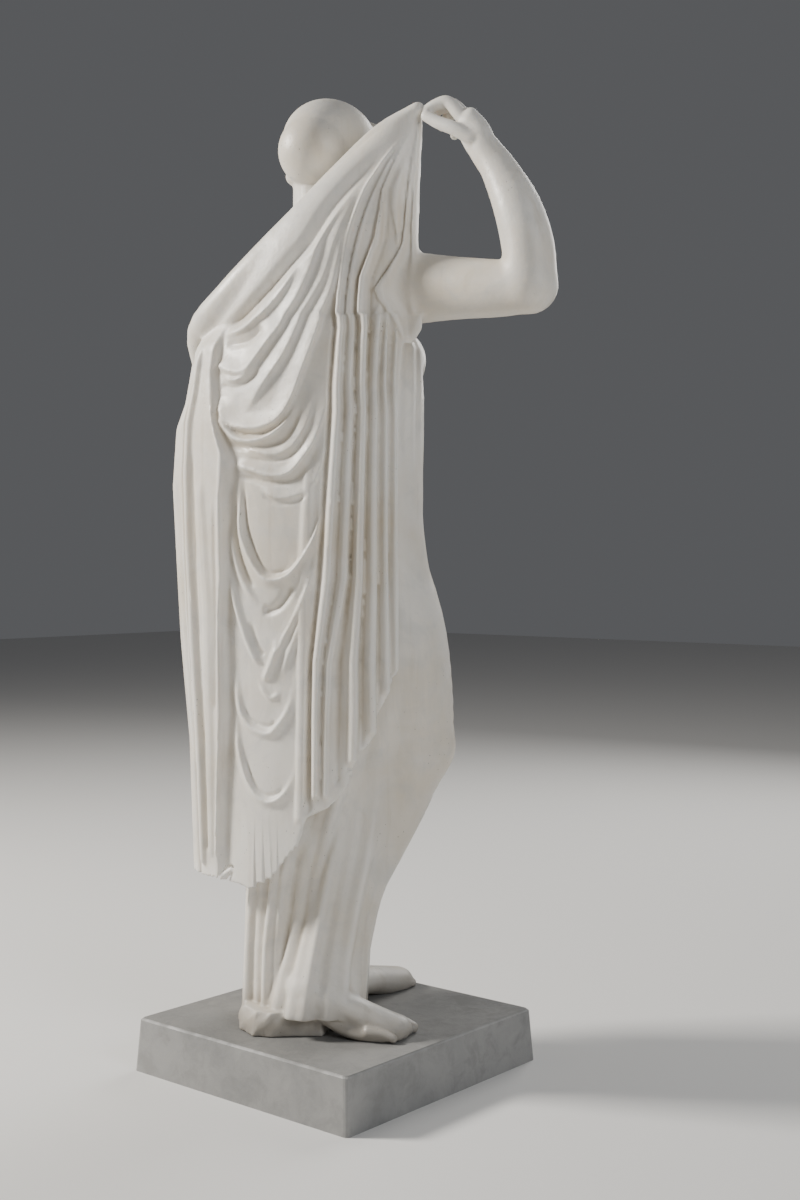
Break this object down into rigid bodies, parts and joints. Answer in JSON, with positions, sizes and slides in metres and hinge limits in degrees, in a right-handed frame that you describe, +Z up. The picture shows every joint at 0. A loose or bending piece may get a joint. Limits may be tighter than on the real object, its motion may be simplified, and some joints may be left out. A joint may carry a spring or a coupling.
{
  "type": "classical marble statue",
  "caption": "Standing draped female figure in marble on a square plinth, one arm raised to hold the edge of a mantle.",
  "frame": {"origin": "middle of the plinth's underside", "axes": "+Z up, the figure faces -Y, its right side is at -X"},
  "size_m": [0.8316, 0.5577, 1.8597],
  "materials": {
    "figure_marble": "satin",
    "plinth_marble": "matt"
  },
  "bodies": {
    "root": {"figure": "figure_marble", "plinth": "plinth_marble"}
  },
  "joints": []
}
